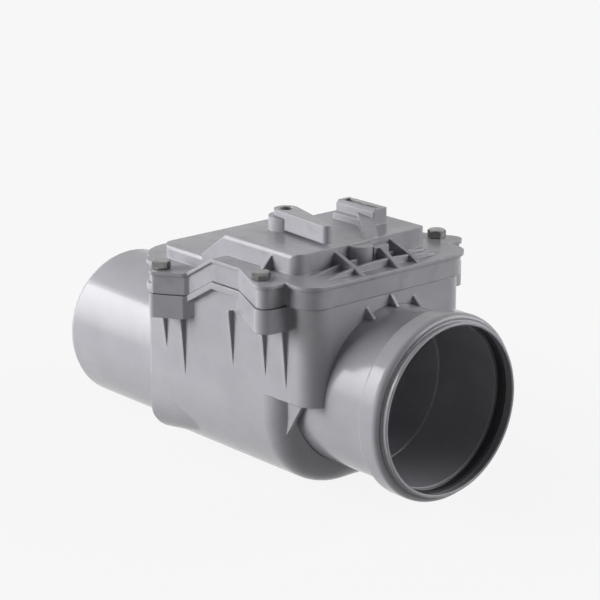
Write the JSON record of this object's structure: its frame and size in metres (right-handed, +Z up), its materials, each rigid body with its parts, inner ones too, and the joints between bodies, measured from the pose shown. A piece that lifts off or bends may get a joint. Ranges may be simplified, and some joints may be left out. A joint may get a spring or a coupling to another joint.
{
  "type": "backwater valve",
  "caption": "Grey moulded drain backwater valve: inlet socket, chamber with a hinged flap, bolted stepped lid with a locking lever, and outlet spigot.",
  "frame": {"origin": "middle of the valve's length on the plane under its lowest point", "axes": "+X along the pipe towards the inlet socket, +Y towards the tag box's side, +Z up"},
  "size_m": [0.342, 0.181, 0.1835],
  "materials": {
    "grey_plastic": "satin moulded",
    "dark_plastic": "satin moulded",
    "tag_plastic": "matt",
    "rubber": "matt",
    "bolt_zinc": "dull zinc plated",
    "stainless": "plain",
    "brass": "plain"
  },
  "bodies": {
    "valve": {"valve_body": "grey_plastic", "outlet_spigot": "grey_plastic", "inlet_socket": "grey_plastic", "inlet_seal": "rubber", "seal_retainer": "grey_plastic", "lid": "grey_plastic", "lid_gasket": "rubber", "tag_plate": "tag_plastic", "bolt_front_left": "bolt_zinc", "bolt_front_right": "bolt_zinc", "bolt_rear_left": "bolt_zinc", "bolt_rear_right": "bolt_zinc", "insert_front_left": "brass", "insert_front_right": "brass", "insert_rear_left": "brass", "insert_rear_right": "brass", "seat_ring": "grey_plastic", "hinge_pin": "stainless", "pin_clip_left": "stainless", "pin_clip_right": "stainless"},
    "flap": {"flap": "dark_plastic", "flap_facing": "rubber", "facing_clamp": "stainless", "flap_screw": "stainless", "flap_nut": "stainless"},
    "lever": {"lever_arm": "grey_plastic", "lever_screw": "stainless", "stem_o_ring": "rubber", "thrust_washer": "stainless", "lock_finger": "dark_plastic"}
  },
  "joints": [
    {"name": "flap_hinge", "type": "hinge", "parent": "valve", "child": "flap", "pos_m": [0.055, 0, 0.1361], "axis": [0, 1, 0], "range_deg": [0, 60]},
    {"name": "lever_turn", "type": "hinge", "parent": "valve", "child": "lever", "pos_m": [0.0292, -0.0172, 0.1699], "axis": [0, 0, -1], "range_deg": [0, 80]}
  ]
}
